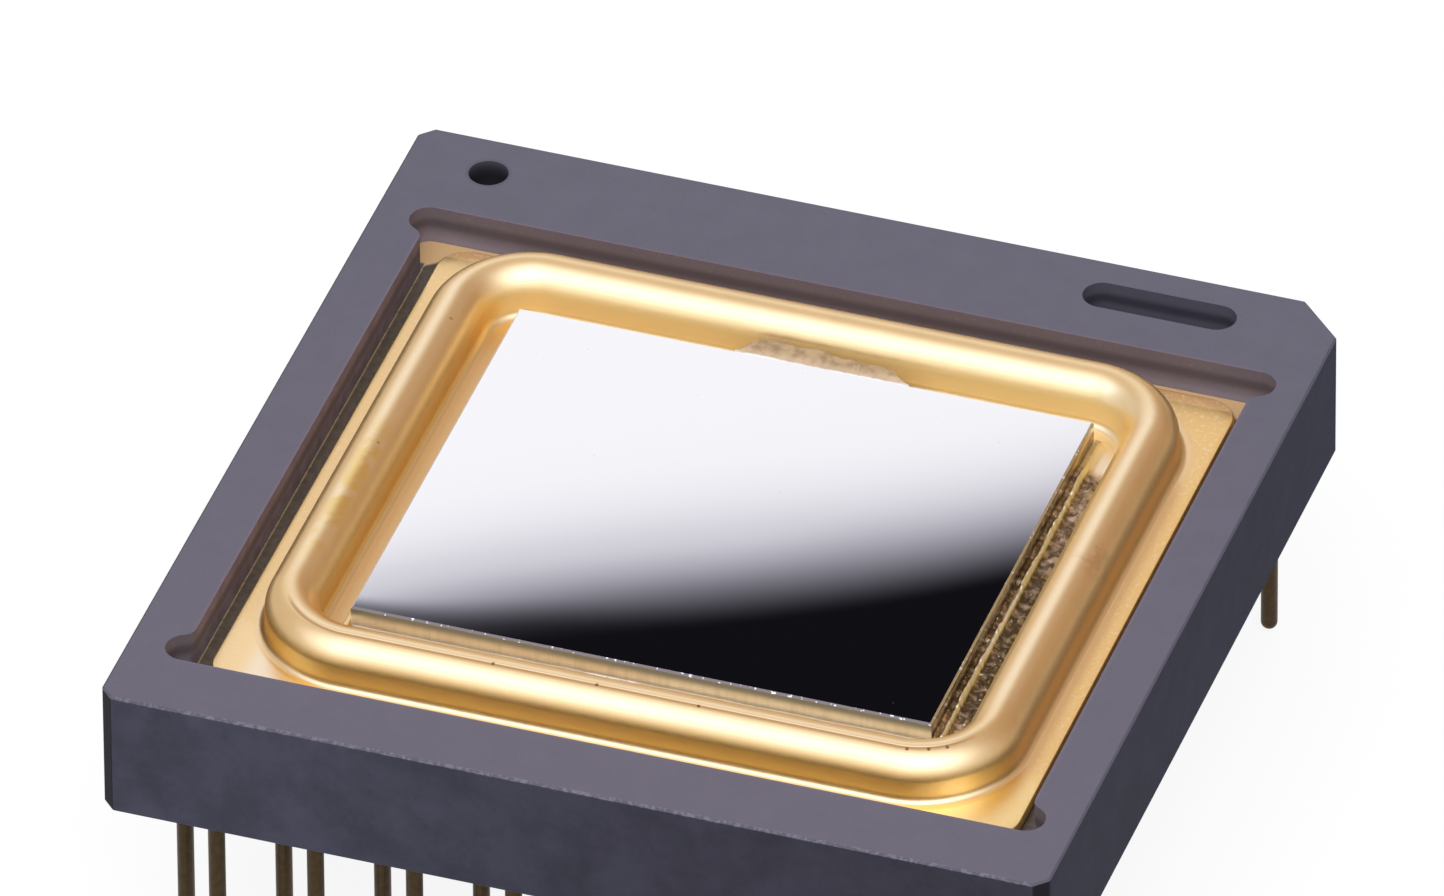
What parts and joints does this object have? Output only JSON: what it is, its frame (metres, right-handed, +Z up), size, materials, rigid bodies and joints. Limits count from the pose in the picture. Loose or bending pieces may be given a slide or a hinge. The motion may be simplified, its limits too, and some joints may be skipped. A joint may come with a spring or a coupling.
{
  "type": "infrared_detector",
  "caption": "Flat square ceramic package with a sunk gold lid frame round a rectangular mirror-like infrared window, staggered lead pins under its front and back edges",
  "frame": {"origin": "middle of the square body seen from above, at the level of the pin tips that the part stands on", "axes": "+X right along the front edge, +Y towards the edge with the locating hole and slot, +Z up out of the window"},
  "size_m": [0.0242, 0.0242, 0.0088],
  "materials": {
    "ceramic": "matte dark grey-violet",
    "gold": "satin gold plating",
    "gold_lid": "satin gold plating, fine grain",
    "lid_solder": "dull gold solder",
    "window_solder": "grainy brown",
    "window_coating": "polished, opaque to light",
    "silicon": "dark polished silicon",
    "die_attach": "matte silver grey",
    "getter": "sintered dark grey",
    "nickel": "bare nickel",
    "braze": "plated braze",
    "pin_plating": "dark olive-brown"
  },
  "bodies": {
    "root": {"ceramic_package": "ceramic", "seal_ring": "gold", "lid_preform": "lid_solder", "lid_frame": "gold_lid", "window_solder": "window_solder", "infrared_window": "window_coating", "detector_die": "silicon", "die_attach": "die_attach", "die_pad_metal": "gold", "bond_fingers": "gold", "bond_wires": "gold", "getter_strip": "getter", "getter_tabs": "nickel", "pin_pads": "gold", "pin_brazes": "braze", "pin_01": "pin_plating", "pin_02": "pin_plating", "pin_03": "pin_plating", "pin_04": "pin_plating", "pin_05": "pin_plating", "pin_06": "pin_plating", "pin_07": "pin_plating", "pin_08": "pin_plating", "pin_09": "pin_plating", "pin_10": "pin_plating", "pin_11": "pin_plating", "pin_12": "pin_plating", "pin_13": "pin_plating", "pin_14": "pin_plating", "pin_15": "pin_plating", "pin_16": "pin_plating", "pin_17": "pin_plating", "pin_18": "pin_plating", "pin_19": "pin_plating", "pin_20": "pin_plating", "pin_21": "pin_plating", "pin_22": "pin_plating", "pin_23": "pin_plating", "pin_24": "pin_plating", "pin_25": "pin_plating", "pin_26": "pin_plating", "pin_27": "pin_plating", "pin_28": "pin_plating", "pin_29": "pin_plating", "pin_30": "pin_plating", "pin_31": "pin_plating", "pin_32": "pin_plating", "pin_33": "pin_plating", "pin_34": "pin_plating", "pin_35": "pin_plating", "pin_36": "pin_plating"}
  },
  "joints": []
}
